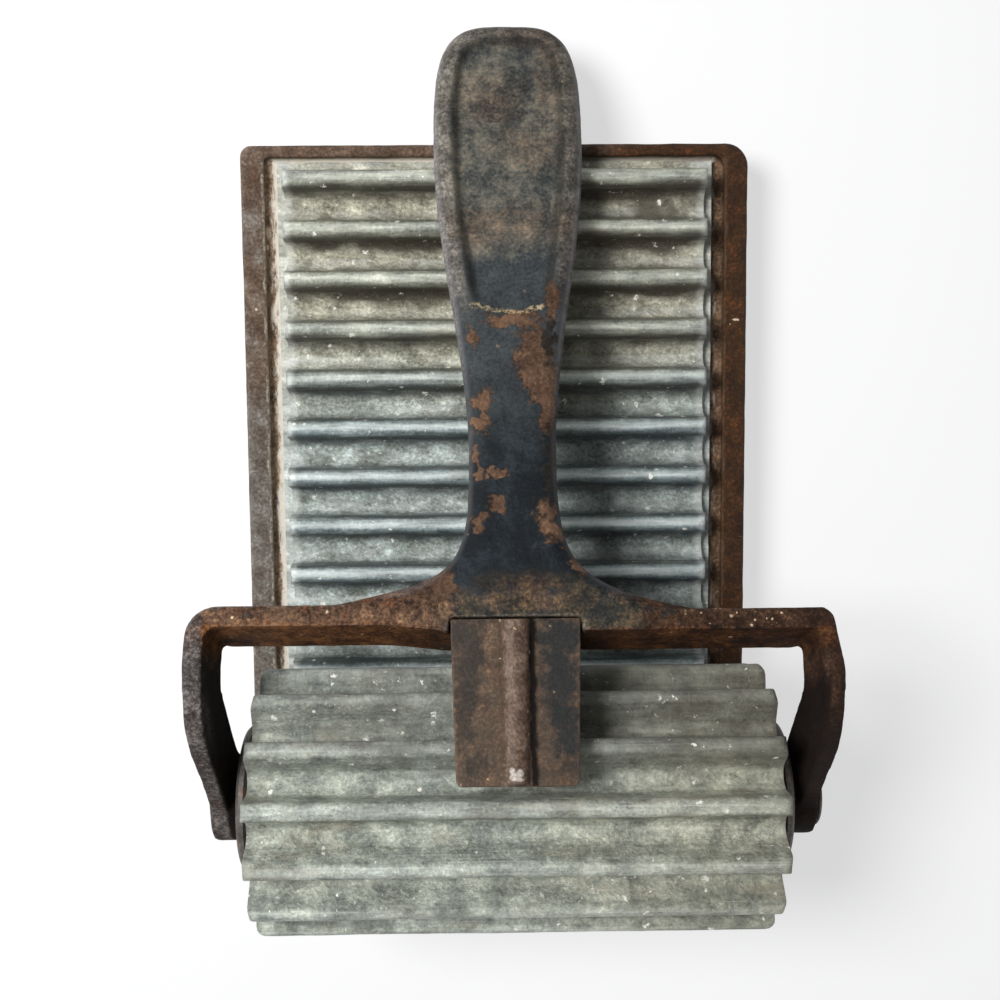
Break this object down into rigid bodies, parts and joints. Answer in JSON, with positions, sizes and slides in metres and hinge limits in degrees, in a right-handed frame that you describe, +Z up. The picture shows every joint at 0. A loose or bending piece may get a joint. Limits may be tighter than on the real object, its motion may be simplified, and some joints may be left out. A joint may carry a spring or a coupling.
{
  "type": "fluting iron",
  "caption": "Rolling hand fluter: a fluted zinc roller in a cast-iron yoke with a flat handle, rolled over a fluted plate in a rimmed iron base to crimp cloth.",
  "frame": {"origin": "middle of the base's flat underside", "axes": "+Z up out of the base, +Y from the roller towards the handle's tip, +X to the right seen from the roller's end with the handle pointing away"},
  "size_m": [0.1113, 0.1677, 0.0665],
  "materials": {
    "base_iron": "rough casting, brown rust",
    "zinc": "weathered dull zinc, grey with pale oxide and dark stains",
    "bare_iron": "bare iron, dark with thin rust",
    "handle_iron": "worn blue-black japan over rusty cast iron",
    "tongue_iron": "brown rust with remains of black paint"
  },
  "bodies": {
    "base": {"base_casting": "base_iron", "fluted_plate": "zinc", "plate_screws": "bare_iron"},
    "axle": {"axle_rod": "bare_iron", "axle_burr": "bare_iron"},
    "roller": {"roller_shell": "zinc", "roller_core": "bare_iron", "end_disc_left": "bare_iron", "end_disc_right": "bare_iron"},
    "handle": {"handle_yoke": "handle_iron", "tongue": "tongue_iron", "tongue_rivets": "bare_iron"}
  },
  "joints": [
    {"name": "roll", "type": "slide", "parent": "base", "child": "axle", "axis": [0, 1, 0], "range_m": [0, 0.1]},
    {"name": "roller_spin", "type": "hinge", "parent": "axle", "child": "roller", "pos_m": [0.0023, -0.0522, 0.03817], "axis": [1, 0, 0], "range_deg": [-285, 15]},
    {"name": "handle_pivot", "type": "hinge", "parent": "axle", "child": "handle", "pos_m": [0.0023, -0.0522, 0.03817], "axis": [1, 0, 0], "range_deg": [0, 130]}
  ],
  "couplings": [
    {"joint": "roller_spin", "follows": "roll", "rad_per_m": -47.242}
  ]
}
